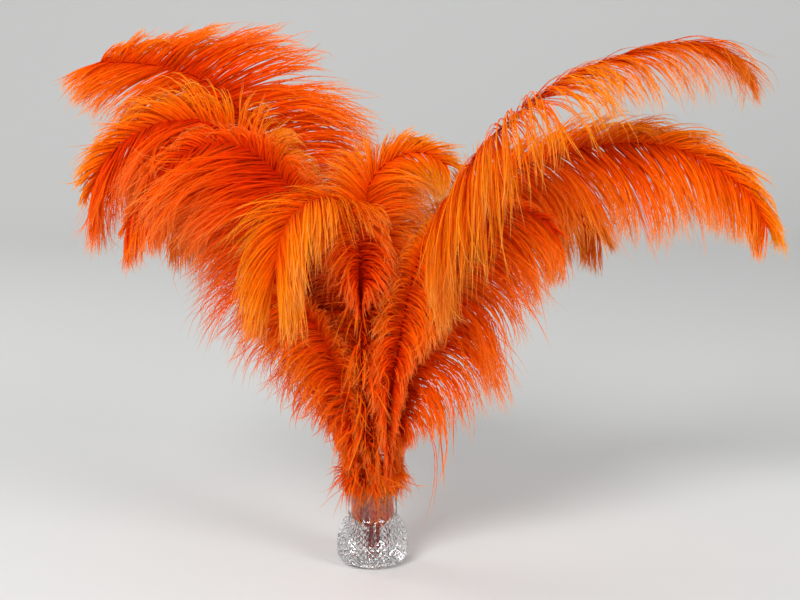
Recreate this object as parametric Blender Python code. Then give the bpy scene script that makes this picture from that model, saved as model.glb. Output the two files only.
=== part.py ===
"""A bunch of orange-dyed ostrich plumes standing in a small cut-glass vase.

Each plume is one closed body: a round quill that stands in the vase, a shaft that
tapers along a smooth curve, and a thin vane of barbs on each side of it whose edge is
cut into locks.  The vase is a thick turned bowl with rows of cut diamond facets and a
plain round neck.
Sizes below are millimetres; the finished meshes are metres with +Z up, and the origin
is the middle of the vase's flat foot.
"""
import math

import bmesh
import bpy
import numpy as np

for old in list(bpy.data.objects):
    bpy.data.objects.remove(old, do_unlink=True)

MM = 0.001

# --- vase -----------------------------------------------------------------------------
VASE_HEIGHT = 70.0
# cut outer wall of the bowl from the foot up: (height, radius)
VASE_OUTSIDE = [(0.0, 22.0), (3.0, 28.8), (8.0, 32.2), (15.0, 32.9), (22.5, 32.8),
                (30.0, 31.5), (37.5, 28.0), (44.0, 24.2)]
# plain wall of the neck above it: (height, radius)
VASE_NECK = [(46.0, 22.6), (68.8, 22.4)]
MOUTH_RADIUS = 20.2
# the lip is flat between its rounded edges, from this much outside the mouth
LIP_START = 0.6
LIP_WIDTH = 1.6
# cavity wall from the mouth down: (height, radius)
VASE_CAVITY = [(69.2, MOUTH_RADIUS), (44.0, 20.6), (30.0, 21.2), (14.5, 19.0), (9.0, 14.0)]
CAVITY_FLOOR = 9.0
FACETS_AROUND = 18
GROOVE_DEPTH = 1.1
GLASS_COLOUR = (0.92, 0.95, 0.96, 1.0)
GLASS_ROUGHNESS = 0.05

# --- quills in the vase ---------------------------------------------------------------
QUILL_RADIUS = 1.7
TIP_RADIUS = 0.45
QUILL_FOOT_HEIGHT = 9.5
QUILL_FOOT_RING = 11.0
QUILL_RIM_RING = 17.4
BARE_QUILL = 70.0
# a bare quill has this many round sections, and one more for every whole stretch that it
# is longer than usual
QUILL_SECTIONS = 3
QUILL_STRETCH = 32.0
# the last section stands at this share of the bare quill
QUILL_LAST = 0.92

# --- vanes ----------------------------------------------------------------------------
PATH_STEPS = 24
SHAFT_POINTS = 200
VANE_STATIONS = 19
BARB_STEPS = 24
# a barb bends from stiff at the shaft to soft at its tip: weights on the plume's droop
STIFF_BEND = 0.3
SOFT_BEND = 2.0
SHEET_HALF_THICKNESS = 0.6
# from the left barb tips across the shaft to the right barb tips
SHEET_TAPER = (0.0, 0.75, 1.0, 1.0, 1.0, 1.0, 1.0, 0.75, 0.0)
# every second station's barbs are this share shorter, which cuts the edge into locks
LOCK_DEPTH = 0.24
PLUME_COLOUR = (0.85, 0.12, 0.01, 1.0)
PLUME_ROUGHNESS = 0.7
PLUME_SMOOTH_ANGLE = 35.0

# How the barbs change along the vane, from 0 at its lower end to 1 at its tip.
VANE_PLACES = (0.0, 0.08, 0.2, 0.4, 0.55, 0.7, 0.9, 1.0)
# length, as a share of the plume's longest barb
BARB_LENGTHS = (0.14, 0.18, 0.36, 0.85, 1.0, 1.0, 0.8, 0.5)
# degrees between barb and shaft
BARB_ANGLES = (95.0, 85.0, 70.0, 58.0, 52.0, 47.0, 38.0, 28.0)
# 1 lies flat in the vane, 0 stands straight out of the bunch
BARB_SPREADS = (0.15, 0.2, 0.6, 1.0, 1.0, 1.0, 1.0, 1.0)
# where along the vane each of a plume's three droops is reached
DROOP_PLACES = (0.15, 0.5, 0.9)
# where along the shaft each of a plume's "backs" is reached
BACK_PLACES = (0.0, 0.3, 0.55, 0.85)

# Every plume has its place in the ring of quills (degrees from +X towards +Y), the ways
# that the back of its vane faces, the length of its longest barbs left and right of the
# shaft, how strongly they droop low, halfway and high on the vane, and the points that
# its shaft passes above the vase.  "turned" is -1 where the back looks into the bunch at
# the foot; "bare", "lengths" and "angles" take the place of the values above them for
# that plume, and a name that begins with "right" holds for its right side only.
PLUMES = {
    "plume_right_long": dict(
        ring=8, barbs=(78, 112), droop=(1.4, 1.2, 1.2), right_droop=(1.8, 1.7, 1.5),
        backs=[(0.0, -0.92, 0.39), (0.0, -0.8, 0.6)],
        angles=(95.0, 85.0, 65.0, 46.0, 38.0, 33.0, 24.0, 18.0),
        right_angles=(95.0, 85.0, 70.0, 58.0, 54.0, 50.0, 42.0, 30.0),
        lengths=(0.08, 0.1, 0.25, 0.5, 0.85, 1.0, 0.8, 0.5),
        right_lengths=(0.06, 0.08, 0.3, 0.64, 0.86, 1.0, 0.56, 0.35),
        shaft=[(21, 5, 110), (32, 10, 195), (52, 18, 265), (82, 24, 318), (115, 25, 353),
               (170, 25, 374), (225, 20, 384), (272, 15, 380), (311, 10, 362), (339, 5, 338),
               (353, 2, 313)]),
    "plume_right_top": dict(
        ring=309, barbs=(48, 138), droop=(1.8, 1.8, 1.8), right_droop=(3.0, 3.0, 1.5),
        backs=[(0.0, -1.0, 0.1), (0.0, 0.1, 1.0)],
        angles=(95.0, 85.0, 70.0, 58.0, 30.0, 20.0, 16.0, 14.0),
        right_angles=(95.0, 85.0, 70.0, 105.0, 118.0, 30.0, 32.0, 24.0),
        lengths=(0.15, 0.4, 0.85, 0.35, 0.08, 0.2, 0.25, 0.25),
        right_lengths=(0.08, 0.1, 0.15, 0.6, 1.0, 0.6, 0.62, 0.26),
        shaft=[(12, -25, 100), (15, -37, 150), (23, -47, 205), (40, -60, 288),
               (69, -65, 347), (108, -52, 399), (168, -42, 444), (238, -32, 471),
               (284, -26, 473), (312, -22, 461), (326, -20, 445)]),
    "plume_right_low": dict(
        ring=342, barbs=(35, 114), droop=(2.5, 2.2, 1.6), right_droop=(3.0, 2.7, 1.9),
        backs=[(0.0, -0.97, 0.25), (0.0, -0.85, 0.5)],
        lengths=(0.12, 0.25, 0.6, 1.0, 1.0, 0.9, 0.7, 0.5),
        right_lengths=(0.05, 0.05, 0.34, 1.08, 1.0, 0.92, 0.68, 0.42),
        shaft=[(20, -8, 100), (26, -12, 150), (36, -15, 212), (60, -20, 270),
               (90, -22, 312), (122, -22, 328), (145, -22, 324), (162, -22, 310)]),
    "plume_left_back": dict(
        ring=148, barbs=(124, 120), droop=(1.0, 0.7, 0.7), right_droop=(1.2, 1.15, 1.2),
        backs=[(0.0, -1.0, 0.1), (0.0, -0.97, 0.25)],
        angles=(95.0, 85.0, 76.0, 70.0, 62.0, 54.0, 34.0, 14.0),
        right_angles=(95.0, 90.0, 90.0, 92.0, 94.0, 101.0, 122.0, 118.0),
        lengths=(0.05, 0.1, 0.36, 0.8, 0.95, 0.97, 0.7, 0.36),
        right_lengths=(0.05, 0.1, 0.26, 0.72, 0.97, 1.04, 0.58, 0.2),
        shaft=[(-16, 16, 110), (-27, 21, 190), (-50, 34, 270), (-80, 48, 344),
               (-128, 55, 418), (-165, 54, 443), (-206, 50, 453), (-246, 46, 455)]),
    "plume_left_middle": dict(
        ring=176, barbs=(122, 60), droop=(1.5, 1.4, 1.5), right_droop=(1.8, 2.8, 0.9),
        backs=[(0.0, -0.98, 0.2), (0.0, -0.85, 0.5)],
        angles=(95.0, 85.0, 70.0, 60.0, 52.0, 44.0, 30.0, 24.0),
        right_angles=(95.0, 85.0, 70.0, 58.0, 52.0, 47.0, 38.0, 26.0),
        lengths=(0.08, 0.12, 0.36, 0.85, 1.0, 1.0, 0.8, 0.5),
        right_lengths=(0.08, 0.12, 0.36, 0.85, 1.0, 1.0, 0.85, 0.4),
        shaft=[(-21, -1, 118), (-33, 2, 200), (-55, 6, 285), (-85, 12, 343),
               (-117, 12, 384), (-150, 10, 404), (-188, 6, 403), (-220, 3, 387), (-240, 0, 366),
               (-248, -3, 346)]),
    "plume_left_front": dict(
        ring=201, bare=75, barbs=(122, 42), droop=(1.9, 1.5, 1.2), right_droop=(1.8, 2.4, 1.2),
        backs=[(0.0, -0.98, 0.2), (0.0, -0.9, 0.4)],
        angles=(95.0, 85.0, 75.0, 60.0, 50.0, 44.0, 36.0, 25.0),
        lengths=(0.07, 0.12, 0.5, 1.12, 1.12, 0.96, 0.6, 0.35),
        right_lengths=(0.1, 0.14, 0.36, 0.85, 1.0, 0.9, 0.6, 0.4),
        shaft=[(-20, -14, 110), (-35, -18, 205), (-50, -22, 290), (-62, -26, 334),
               (-95, -30, 374), (-125, -30, 388), (-155, -30, 384), (-185, -30, 362),
               (-204, -30, 336), (-215, -30, 316)]),
    "plume_left_low": dict(
        ring=225, barbs=(85, 52), droop=(2.2, 2.0, 1.6), right_droop=(2.4, 2.4, 1.2),
        backs=[(0.0, -0.97, 0.25), (0.0, -0.9, 0.4)],
        lengths=(0.08, 0.18, 0.34, 0.46, 0.7, 0.8, 0.62, 0.4),
        right_lengths=(0.1, 0.1, 0.15, 0.3, 0.45, 0.5, 0.45, 0.35),
        shaft=[(-14, -26, 105), (-20, -42, 150), (-33, -56, 200), (-50, -64, 235),
               (-68, -68, 253), (-84, -70, 258), (-98, -70, 252)]),
    "plume_left_drooping": dict(
        ring=252, turned=-1.0, bare=245, barbs=(74, 78), droop=(1.6, 2.6, 1.7),
        right_droop=(1.6, 2.0, 1.7),
        backs=[(0.0, 0.9, 0.4), (0.0, 0.8, 0.5), (-0.35, -0.5, 0.75)],
        angles=(80.0, 75.0, 66.0, 62.0, 58.0, 52.0, 36.0, 18.0),
        lengths=(0.15, 0.4, 0.62, 0.5, 0.75, 1.05, 1.1, 1.0),
        right_lengths=(0.15, 0.4, 0.6, 0.6, 0.85, 1.05, 1.1, 1.0),
        shaft=[(-6, -29, 95), (-6, -45, 150), (-8, -54, 205), (-9, -57, 260),
               (-10, -61, 305), (-16, -68, 331), (-32, -81, 345), (-50, -96, 345),
               (-66, -109, 334), (-75, -119, 315), (-78, -124, 296)]),
    "plume_centre": dict(
        ring=279, bare=75, barbs=(60, 62), droop=(1.4, 1.5, 1.0), right_droop=(1.4, 1.5, 1.6),
        backs=[(0.0, -1.0, 0.1), (0.0, -0.95, 0.3)],
        angles=(95.0, 85.0, 70.0, 58.0, 52.0, 42.0, 30.0, 22.0),
        right_angles=(95.0, 85.0, 70.0, 58.0, 52.0, 47.0, 38.0, 28.0),
        lengths=(0.12, 0.2, 0.45, 0.9, 1.0, 0.9, 0.6, 0.4),
        right_lengths=(0.12, 0.16, 0.22, 0.75, 1.0, 1.0, 0.85, 0.45),
        shaft=[(1, -19, 100), (-2, -24, 150), (-5, -29, 205), (-5, -34, 280),
               (-5, -36, 328), (0, -32, 356), (20, -24, 375), (45, -16, 379), (66, -12, 368)]),
    "plume_back_left": dict(
        ring=118, barbs=(60, 90), droop=(1.4, 1.4, 1.4),
        backs=[(0.0, 0.98, 0.2), (-0.2, 0.8, 0.5)],
        shaft=[(-9, 21, 95), (-15, 32, 150), (-28, 48, 215), (-52, 68, 272),
               (-90, 94, 310), (-130, 112, 325), (-167, 122, 313), (-193, 128, 288)]),
    "plume_back_centre": dict(
        ring=85, turned=-1.0, bare=75, barbs=(85, 85), droop=(1.4, 1.4, 1.4),
        backs=[(0.0, -0.9, 0.4), (0.0, -0.3, 1.0), (0.0, 0.3, 1.0)],
        shaft=[(1, 28, 100), (2, 57, 150), (2, 94, 225), (0, 122, 285), (0, 150, 318),
               (0, 180, 330), (0, 205, 318), (0, 220, 292)]),
    "plume_back_right": dict(
        ring=45, barbs=(90, 60), droop=(1.4, 1.4, 1.4),
        backs=[(0.0, 0.98, 0.2), (0.2, 0.8, 0.5)],
        shaft=[(14, 19, 85), (19, 38, 140), (31, 60, 205), (61, 81, 268),
               (103, 100, 310), (150, 112, 325), (190, 120, 315), (215, 124, 288)]),
}

DOWN = np.array([0.0, 0.0, -1.0])


def unit(v):
    return v / np.maximum(np.linalg.norm(v, axis=-1, keepdims=True), 1e-9)


def smooth_path(points, count):
    """Points evenly spaced along a smooth curve through the given ones."""
    p = np.array(points, float)
    p = np.vstack([2 * p[0] - p[1], p, 2 * p[-1] - p[-2]])
    t = np.linspace(0.0, 1.0, PATH_STEPS, endpoint=False)[:, None]
    runs = []
    for a, b, c, d in zip(p[:-3], p[1:-2], p[2:-1], p[3:]):
        runs.append(0.5 * (2 * b + (c - a) * t + (2 * a - 5 * b + 4 * c - d) * t ** 2
                           + (3 * b - a - 3 * c + d) * t ** 3))
    runs.append(p[-2:-1])
    curve = np.vstack(runs)
    along = np.r_[0.0, np.cumsum(np.linalg.norm(np.diff(curve, axis=0), axis=1))]
    even = np.linspace(0.0, along[-1], count)
    return np.stack([np.interp(even, along, curve[:, k]) for k in range(3)], 1), along[-1]


def shaft_frame(plume):
    """A fine curve down the plume's shaft, with its tangent, side and back directions."""
    turn = math.radians(plume["ring"])
    out = np.array([math.cos(turn), math.sin(turn), 0.0])
    foot = out * QUILL_FOOT_RING + [0.0, 0.0, QUILL_FOOT_HEIGHT]
    rim = out * QUILL_RIM_RING + [0.0, 0.0, VASE_HEIGHT]
    curve, length = smooth_path([foot, rim] + plume["shaft"], SHAFT_POINTS)
    tangent = unit(np.gradient(curve, axis=0))
    keys = unit(np.array([out * plume.get("turned", 1.0)] + plume["backs"]))
    places = np.linspace(0.0, 1.0, SHAFT_POINTS)
    reached = BACK_PLACES[:len(keys)]
    back = np.stack([np.interp(places, reached, keys[:, k]) for k in range(3)], 1)
    side = unit(np.cross(tangent, back))
    return curve, length, tangent, side, unit(np.cross(side, tangent))


def shaft_radius(places):
    return QUILL_RADIUS + (TIP_RADIUS - QUILL_RADIUS) * places


def barb_curves(frame, plume, station, places, cut):
    """Three points down one barb of each side at every station, left side first.

    `station` indexes the fine shaft curve, `places` runs 0 to 1 along the vane, and `cut`
    is the share of each barb that is kept.
    """
    curve, _, tangent, side_way, back = frame
    outwards = back * plume.get("turned", 1.0)
    sides = []
    shares = plume.get("lengths", BARB_LENGTHS)
    angles = plume.get("angles", BARB_ANGLES)
    droops = plume["droop"]
    for sign, longest in zip((-1.0, 1.0), plume["barbs"]):
        if sign > 0.0:
            shares = plume.get("right_lengths", shares)
            angles = plume.get("right_angles", angles)
            droops = plume.get("right_droop", droops)
        length = longest * np.interp(places, VANE_PLACES, shares)
        angle = np.radians(np.interp(places, VANE_PLACES, angles))[:, None]
        droop = np.interp(places, DROOP_PLACES, droops)[:, None]
        spread = np.interp(places, VANE_PLACES, BARB_SPREADS)[:, None]
        away = unit(sign * spread * side_way[station] + (1.0 - spread) * outwards[station])
        way = np.cos(angle) * tangent[station] + np.sin(angle) * away
        at = curve[station] + sign * side_way[station] * shaft_radius(places)[:, None]
        rows = [at.copy()]
        step = (length / BARB_STEPS)[:, None]
        for k in range(BARB_STEPS):
            bend = STIFF_BEND + (SOFT_BEND - STIFF_BEND) * k / BARB_STEPS
            way = unit(way + DOWN * droop * bend / BARB_STEPS)
            at = at + way * step
            rows.append(at.copy())
        rows = np.array(rows)
        reach = np.array([1 / 3, 2 / 3, 1.0])[:, None] * cut[None, :] * BARB_STEPS
        low = np.clip(reach.astype(int), 0, BARB_STEPS - 1)
        share = (reach - low)[..., None]
        column = np.arange(len(places))[None, :]
        sides.append(rows[low, column] * (1 - share) + rows[low + 1, column] * share)
    return sides


def plume_rings(plume):
    """Closed cross-sections of the same point count from the quill's foot to the tip.

    Each starts at the left barb tip, runs over the back to the right one, and returns
    underneath; the quill's are round.
    """
    frame = shaft_frame(plume)
    curve, length, _, side, back = frame
    bare = plume.get("bare", BARE_QUILL)
    start = bare / length

    rings = []
    count = 2 * len(SHEET_TAPER) - 2
    turn = math.pi - (2.0 * math.pi / count * np.arange(count))[:, None]
    sections = QUILL_SECTIONS + int((bare - BARE_QUILL) / QUILL_STRETCH)
    for share in np.linspace(0.0, QUILL_LAST, sections):
        k = int(round(share * start * (SHAFT_POINTS - 1)))
        rings.append(curve[k] + QUILL_RADIUS * (np.cos(turn) * side[k] + np.sin(turn) * back[k]))

    places = np.linspace(0.0, 1.0, VANE_STATIONS)
    station = np.round((start + (1.0 - start) * places) * (SHAFT_POINTS - 1)).astype(int)
    cut = 1.0 - LOCK_DEPTH * (np.arange(VANE_STATIONS) % 2)
    left, right = barb_curves(frame, plume, station, places, cut)
    radius = shaft_radius(places)[:, None]
    shaft, edge = curve[station], side[station] * radius
    sheet = np.stack([*left[::-1], shaft - edge, shaft, shaft + edge, *right], axis=1)
    normal = unit(np.cross(np.gradient(sheet, axis=1), np.gradient(sheet, axis=0)))
    normal[:, 4] = back[station]
    for column, inner in ((3, 4), (2, 3), (1, 2), (5, 4), (6, 5), (7, 6)):
        against = np.sum(normal[:, column] * normal[:, inner], axis=1) < 0.0
        normal[against, column] *= -1.0
    half = np.tile(SHEET_HALF_THICKNESS * np.array(SHEET_TAPER), (VANE_STATIONS, 1))
    half[:, 4:5] = radius
    top = sheet + normal * half[..., None]
    under = sheet - normal * half[..., None]
    for i in range(VANE_STATIONS):
        rings.append(np.vstack([sheet[i, :1], top[i, 1:8], sheet[i, 8:], under[i, 7:0:-1]]))
    return np.array(rings)


def material(name, colour, roughness):
    made = bpy.data.materials.new(name)
    made.use_nodes = True
    shader = made.node_tree.nodes["Principled BSDF"]
    shader.inputs["Base Color"].default_value = colour
    shader.inputs["Roughness"].default_value = roughness
    shader.inputs["Metallic"].default_value = 0.0
    made.diffuse_color = colour
    return made


def add_object(name, bm, made, smooth_angle=None):
    bmesh.ops.recalc_face_normals(bm, faces=bm.faces[:])
    mesh = bpy.data.meshes.new(name)
    bm.to_mesh(mesh)
    bm.free()
    if smooth_angle is not None:
        mesh.shade_smooth()
        mesh.set_sharp_from_angle(angle=math.radians(smooth_angle))
    mesh.materials.append(made)
    piece = bpy.data.objects.new(name, mesh)
    bpy.context.scene.collection.objects.link(piece)
    return piece


def loft(rings):
    """A closed body through rings that all have the same number of points."""
    bm = bmesh.new()
    loops = [[bm.verts.new(point * MM) for point in ring] for ring in rings]
    count = len(loops[0])
    for lower, upper in zip(loops[:-1], loops[1:]):
        for j in range(count):
            k = (j + 1) % count
            bm.faces.new((lower[j], lower[k], upper[k], upper[j]))
    bm.faces.new(loops[0][::-1])
    tip = loops[-1]
    for j in range(count // 2):
        corners = [tip[j], tip[j + 1], tip[count - 1 - j], tip[-j]]
        bm.faces.new(list(dict.fromkeys(corners)))
    bmesh.ops.triangulate(bm, faces=bm.faces[:])
    return bm


def ring_of(radii, height):
    count = len(radii)
    turn = np.arange(count) * 2.0 * math.pi / count
    return np.stack([radii * np.cos(turn), radii * np.sin(turn), np.full(count, height)], 1)


def build_vase():
    """Foot, cut outer wall, neck, lip, then down the cavity wall to its floor."""
    columns = 2 * FACETS_AROUND
    rows = []
    for row, (height, radius) in enumerate(VASE_OUTSIDE):
        radii = np.full(columns, radius)
        if 0 < row < len(VASE_OUTSIDE) - 1:
            radii[(np.arange(columns) + row) % 2 == 0] -= GROOVE_DEPTH
        rows.append(ring_of(radii, height))
    cut_rows = len(rows)
    lip = [(VASE_HEIGHT, MOUTH_RADIUS + LIP_WIDTH), (VASE_HEIGHT, MOUTH_RADIUS + LIP_START)]
    for height, radius in VASE_NECK + lip + VASE_CAVITY:
        rows.append(ring_of(np.full(columns, radius), height))

    bm = bmesh.new()
    loops = [[bm.verts.new(point * MM) for point in row] for row in rows]
    for row, (lower, upper) in enumerate(zip(loops[:-1], loops[1:])):
        for j in range(columns):
            k = (j + 1) % columns
            if row < cut_rows - 1 and (j + row) % 2 == 0:
                bm.faces.new((lower[j], lower[k], upper[k]))
                bm.faces.new((lower[j], upper[k], upper[j]))
            elif row < cut_rows - 1:
                bm.faces.new((lower[j], lower[k], upper[j]))
                bm.faces.new((lower[k], upper[k], upper[j]))
            else:
                bm.faces.new((lower[j], lower[k], upper[k], upper[j]))
    bm.faces.new(loops[0][::-1])
    middle = bm.verts.new((0.0, 0.0, CAVITY_FLOOR * MM))
    for j in range(columns):
        bm.faces.new((loops[-1][j], loops[-1][(j + 1) % columns], middle))
    return add_object("vase", bm, material("cut_glass", GLASS_COLOUR, GLASS_ROUGHNESS))


build_vase()
for plume_name, plume_sizes in PLUMES.items():
    dyed = material(plume_name + "_dyed_barbs", PLUME_COLOUR, PLUME_ROUGHNESS)
    add_object(plume_name, loft(plume_rings(plume_sizes)), dyed, PLUME_SMOOTH_ANGLE)
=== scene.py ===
import math
from collections import namedtuple

import bmesh
import bpy
import numpy as np
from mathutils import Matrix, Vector


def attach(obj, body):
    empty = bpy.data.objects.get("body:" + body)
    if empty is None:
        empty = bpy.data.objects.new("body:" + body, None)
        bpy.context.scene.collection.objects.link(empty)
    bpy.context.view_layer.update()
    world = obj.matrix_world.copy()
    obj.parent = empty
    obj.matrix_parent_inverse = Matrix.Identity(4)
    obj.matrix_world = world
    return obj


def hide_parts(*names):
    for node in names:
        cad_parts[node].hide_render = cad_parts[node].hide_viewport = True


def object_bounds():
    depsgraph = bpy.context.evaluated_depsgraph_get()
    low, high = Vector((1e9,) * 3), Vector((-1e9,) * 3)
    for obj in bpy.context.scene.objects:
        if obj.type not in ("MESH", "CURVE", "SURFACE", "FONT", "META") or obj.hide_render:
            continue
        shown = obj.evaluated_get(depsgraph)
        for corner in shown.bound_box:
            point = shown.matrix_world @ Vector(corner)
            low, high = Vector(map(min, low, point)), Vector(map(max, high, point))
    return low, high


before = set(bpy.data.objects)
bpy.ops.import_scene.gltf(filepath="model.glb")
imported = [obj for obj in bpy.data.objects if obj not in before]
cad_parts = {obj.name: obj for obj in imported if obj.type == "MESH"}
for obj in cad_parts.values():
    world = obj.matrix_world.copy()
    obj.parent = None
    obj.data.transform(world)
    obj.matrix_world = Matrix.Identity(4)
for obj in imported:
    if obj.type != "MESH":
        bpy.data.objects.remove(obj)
cad_box = [list(corner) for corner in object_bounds()]


# ---- The vase -------------------------------------------------------------------------
# A small thick bowl of clear pressed glass.  Its outer wall is cut all round in rows of
# pointed diamonds, its foot is fluted, and its plain neck and hollow are fire-polished.
MM = 0.001
DIAMONDS_AROUND = 34
DIAMOND_ROW_HEIGHT = 2.75
DIAMOND_POINT = 0.55
DIAMOND_GROOVE = 0.75
FOOT_RADIUS = 22.0
FLUTE_DEPTH = 0.5
# outer wall between the foot's flutes and the neck: (height, radius) in millimetres
WALL_OUTSIDE = [(3.0, 28.4), (8.0, 31.6), (14.0, 32.3), (20.0, 32.3), (26.0, 31.9),
                (32.0, 30.3), (38.0, 27.5), (43.5, 24.2)]
NECK = [(44.8, 23.2), (46.2, 22.6), (50.0, 22.4), (68.2, 22.3)]
RIM = [(69.3, 22.1), (69.9, 21.6), (70.0, 21.2), (69.9, 20.8), (69.3, 20.3), (68.2, 20.2)]
HOLLOW = [(44.0, 20.6), (30.0, 21.2), (22.0, 20.4), (14.5, 19.0), (11.0, 16.8), (9.3, 13.6)]
HOLLOW_FLOOR = 9.0


def glass_point(radius, angle, height):
    """A place on the turned glass, in metres."""
    return (radius * MM * math.cos(angle), radius * MM * math.sin(angle), height * MM)


def level_ring(mesh, radii, height, turn=0.0):
    """A level ring of points, one for every radius given."""
    made = []
    for k, radius in enumerate(radii):
        angle = turn + 2.0 * math.pi * k / len(radii)
        made.append(mesh.verts.new(glass_point(radius, angle, height)))
    return made


def band(mesh, lower, upper, polished):
    """Four-sided faces between two rings, smooth where the glass is fire-polished."""
    for j in range(len(lower)):
        k = (j + 1) % len(lower)
        face = mesh.faces.new((lower[j], lower[k], upper[k], upper[j]))
        face.smooth = polished
        face.material_index = int(polished)


def cut_glass_wall(mesh):
    """Rows of four-sided pyramids standing corner to corner, every second row half a
    diamond further round; returns its two edge rings and how far the upper one is turned."""
    heights, radii = np.array(WALL_OUTSIDE).T
    low, high = WALL_OUTSIDE[0][0], WALL_OUTSIDE[-1][0]
    half = math.pi / DIAMONDS_AROUND
    rows = int(round((high - low) / DIAMOND_ROW_HEIGHT))
    row_heights = [low + (high - low) * row / rows for row in range(rows + 1)]
    rings = []
    for row, height in enumerate(row_heights):
        radius = np.interp(height, heights, radii) - DIAMOND_GROOVE
        rings.append(level_ring(mesh, [radius] * DIAMONDS_AROUND, height, half * (row % 2)))
    for row, height in enumerate(row_heights):
        radius = np.interp(height, heights, radii) + DIAMOND_POINT
        if row in (0, rows):
            radius -= DIAMOND_GROOVE
        for j in range(DIAMONDS_AROUND):
            angle = half * (2 * j + 1 + row % 2)
            point = mesh.verts.new(glass_point(radius, angle, height))
            left, right = rings[row][j], rings[row][(j + 1) % DIAMONDS_AROUND]
            k = (j + row % 2) % DIAMONDS_AROUND
            if row < rows:
                top = rings[row + 1][k]
                mesh.faces.new((point, right, top))
                mesh.faces.new((point, top, left))
            if row > 0:
                bottom = rings[row - 1][k]
                mesh.faces.new((point, left, bottom))
                mesh.faces.new((point, bottom, right))
            if row in (0, rows):
                rings[row].append(point)
    edges = []
    for ring in (rings[0], rings[-1]):
        pairs = zip(ring[:DIAMONDS_AROUND], ring[DIAMONDS_AROUND:])
        edges.append([vertex for pair in pairs for vertex in pair])
    return edges[0], edges[1], half * (rows % 2)


def make_vase():
    """Foot, cut wall, neck, rim and hollow as one closed skin of glass."""
    mesh = bmesh.new()
    low_edge, high_edge, turn = cut_glass_wall(mesh)
    around = 2 * DIAMONDS_AROUND
    flutes = [FOOT_RADIUS - FLUTE_DEPTH * (k % 2) for k in range(around)]
    foot = level_ring(mesh, flutes, 0.0)
    band(mesh, foot, low_edge, False)
    mesh.faces.new(foot[::-1])
    below = high_edge
    for height, radius in NECK + RIM + HOLLOW:
        ring = level_ring(mesh, [radius] * around, height, turn)
        band(mesh, below, ring, True)
        below = ring
    middle = mesh.verts.new((0.0, 0.0, HOLLOW_FLOOR * MM))
    for j in range(around):
        face = mesh.faces.new((below[j], below[(j + 1) % around], middle))
        face.smooth = True
    bmesh.ops.triangulate(mesh, faces=[f for f in mesh.faces if len(f.verts) > 4])
    bmesh.ops.recalc_face_normals(mesh, faces=mesh.faces[:])
    data = bpy.data.meshes.new("vase_cut_glass")
    mesh.to_mesh(data)
    mesh.free()
    piece = bpy.data.objects.new("vase_cut_glass", data)
    bpy.context.scene.collection.objects.link(piece)
    return piece


GLASS_IOR = 1.47
RIPPLE_FINENESS = 260.0
RIPPLE_DETAIL = 2.0
RIPPLE_HEIGHT = 0.0006
CUT_RIPPLE = 0.4
POLISHED_RIPPLE = 0.03


def clear_glass(name, ripple):
    """Colourless glass whose surface waves very slightly, as pressed glass does."""
    made = bpy.data.materials.new(name)
    made.use_nodes = True
    nodes, links = made.node_tree.nodes, made.node_tree.links
    shader = nodes["Principled BSDF"]
    shader.inputs["Base Color"].default_value = (1.0, 1.0, 1.0, 1.0)
    shader.inputs["Roughness"].default_value = 0.0
    shader.inputs["IOR"].default_value = GLASS_IOR
    shader.inputs["Transmission Weight"].default_value = 1.0
    place = nodes.new("ShaderNodeTexCoord")
    wave = nodes.new("ShaderNodeTexNoise")
    wave.inputs["Scale"].default_value = RIPPLE_FINENESS
    wave.inputs["Detail"].default_value = RIPPLE_DETAIL
    bump = nodes.new("ShaderNodeBump")
    bump.inputs["Strength"].default_value = ripple
    bump.inputs["Distance"].default_value = RIPPLE_HEIGHT
    links.new(place.outputs["Object"], wave.inputs["Vector"])
    links.new(wave.outputs["Fac"], bump.inputs["Height"])
    links.new(bump.outputs["Normal"], shader.inputs["Normal"])
    return made


vase = make_vase()
vase.data.materials.append(clear_glass("clear_cut_glass", CUT_RIPPLE))
vase.data.materials.append(clear_glass("fire_polished_glass", POLISHED_RIPPLE))
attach(vase, "root")
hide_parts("vase")


# ---- The plumes on the right ----------------------------------------------------------
# Two long dyed ostrich plumes and a short one.  A round quill that leans on the vase's rim
# thins into a soft shaft with loose barbs down both sides.  Nothing hooks the barbs: each
# droops by itself, neighbours cling in locks, and a barb is a string of finer hairs.
VASE_HEIGHT = 70.0
QUILL_RADIUS = 1.7
VANE_FOOT_RADIUS = 0.75 * QUILL_RADIUS
TIP_RADIUS = 0.45
# the quill's end stands this high in the hollow, this far from the vase's axis
QUILL_FOOT = 9.5
QUILL_FOOT_RING = 11.0
# and the quill's middle passes the rim this far from the axis
QUILL_RIM_RING = 17.4
# this much of the quill has no vane, unless a plume says otherwise
BARE_QUILL = 70.0
SHAFT_POINTS = 200
SHAFT_RINGS = 70
SHAFT_SIDES = 8
CURVE_STEPS = 24
# shares of the shaft's length at which a plume says which way its vane's back faces
BACK_PLACES = (0.0, 0.3, 0.55, 0.85)
NO_LENGTH = 1e-9

Shaft = namedtuple("Shaft", "curve length tangent side back")


def unit(v):
    """Vectors brought to length one."""
    return v / np.maximum(np.linalg.norm(v, axis=-1, keepdims=True), NO_LENGTH)


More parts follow.
